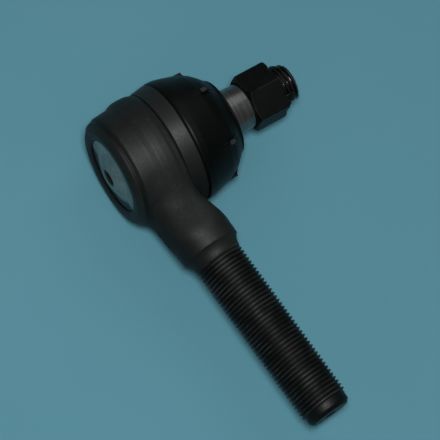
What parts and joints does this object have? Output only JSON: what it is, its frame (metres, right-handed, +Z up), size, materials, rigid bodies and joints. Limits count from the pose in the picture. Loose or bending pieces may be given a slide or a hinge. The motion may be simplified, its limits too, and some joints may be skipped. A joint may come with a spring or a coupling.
{
  "type": "tie rod end",
  "caption": "Outer steering ball joint: forged socket with a threaded shank, rubber boot, tapered ball stud and castle nut.",
  "frame": {"origin": "the centre of the ball, where the shank's axis and the socket's axis cross", "axes": "+X along the shank to its threaded tip, +Y square to it on the side of the stud and nut, +Z up with the joint lying on its side; the socket's axis is in the XY plane, 3.7 degrees from +Y towards +X"},
  "size_m": [0.1331, 0.0765, 0.0464],
  "materials": {
    "forged_steel": "satin grey phosphate over a forged skin",
    "cover_steel": "satin pressed sheet",
    "spring_steel": "oiled spring steel",
    "bearing_plastic": "moulded acetal",
    "stud_steel": "finely turned",
    "ring_black": "satin black",
    "boot_rubber": "satin moulded rubber",
    "slide_plastic": "moulded",
    "nut_black": "satin black oxide"
  },
  "bodies": {
    "socket": {"housing": "forged_steel", "end_cover": "cover_steel", "preload_spring": "spring_steel", "boot_retaining_ring": "ring_black"},
    "bearings": {"lower_bearing": "bearing_plastic", "upper_bearing": "bearing_plastic", "dust_boot": "boot_rubber"},
    "collar": {"boot_slide_ring": "slide_plastic"},
    "stud": {"ball_stud": "stud_steel"},
    "nut": {"castle_nut": "nut_black"}
  },
  "joints": [
    {"name": "swing_direction", "type": "hinge", "parent": "socket", "child": "bearings", "pos_m": [0, 0, 0], "axis": [0.0645, 0.9979, 0], "continuous": true},
    {"name": "stud_tilt", "type": "hinge", "parent": "bearings", "child": "collar", "pos_m": [0, 0, 0], "axis": [0, 0, -1], "range_deg": [-22, 22], "deforming": ["dust_boot"]},
    {"name": "stud_spin", "type": "hinge", "parent": "collar", "child": "stud", "pos_m": [0, 0, 0], "axis": [0.0645, 0.9979, 0], "continuous": true},
    {"name": "nut_turn", "type": "hinge", "parent": "stud", "child": "nut", "pos_m": [0.00266, 0.04111, 0], "axis": [0.0645, 0.9979, 0], "continuous": true}
  ]
}
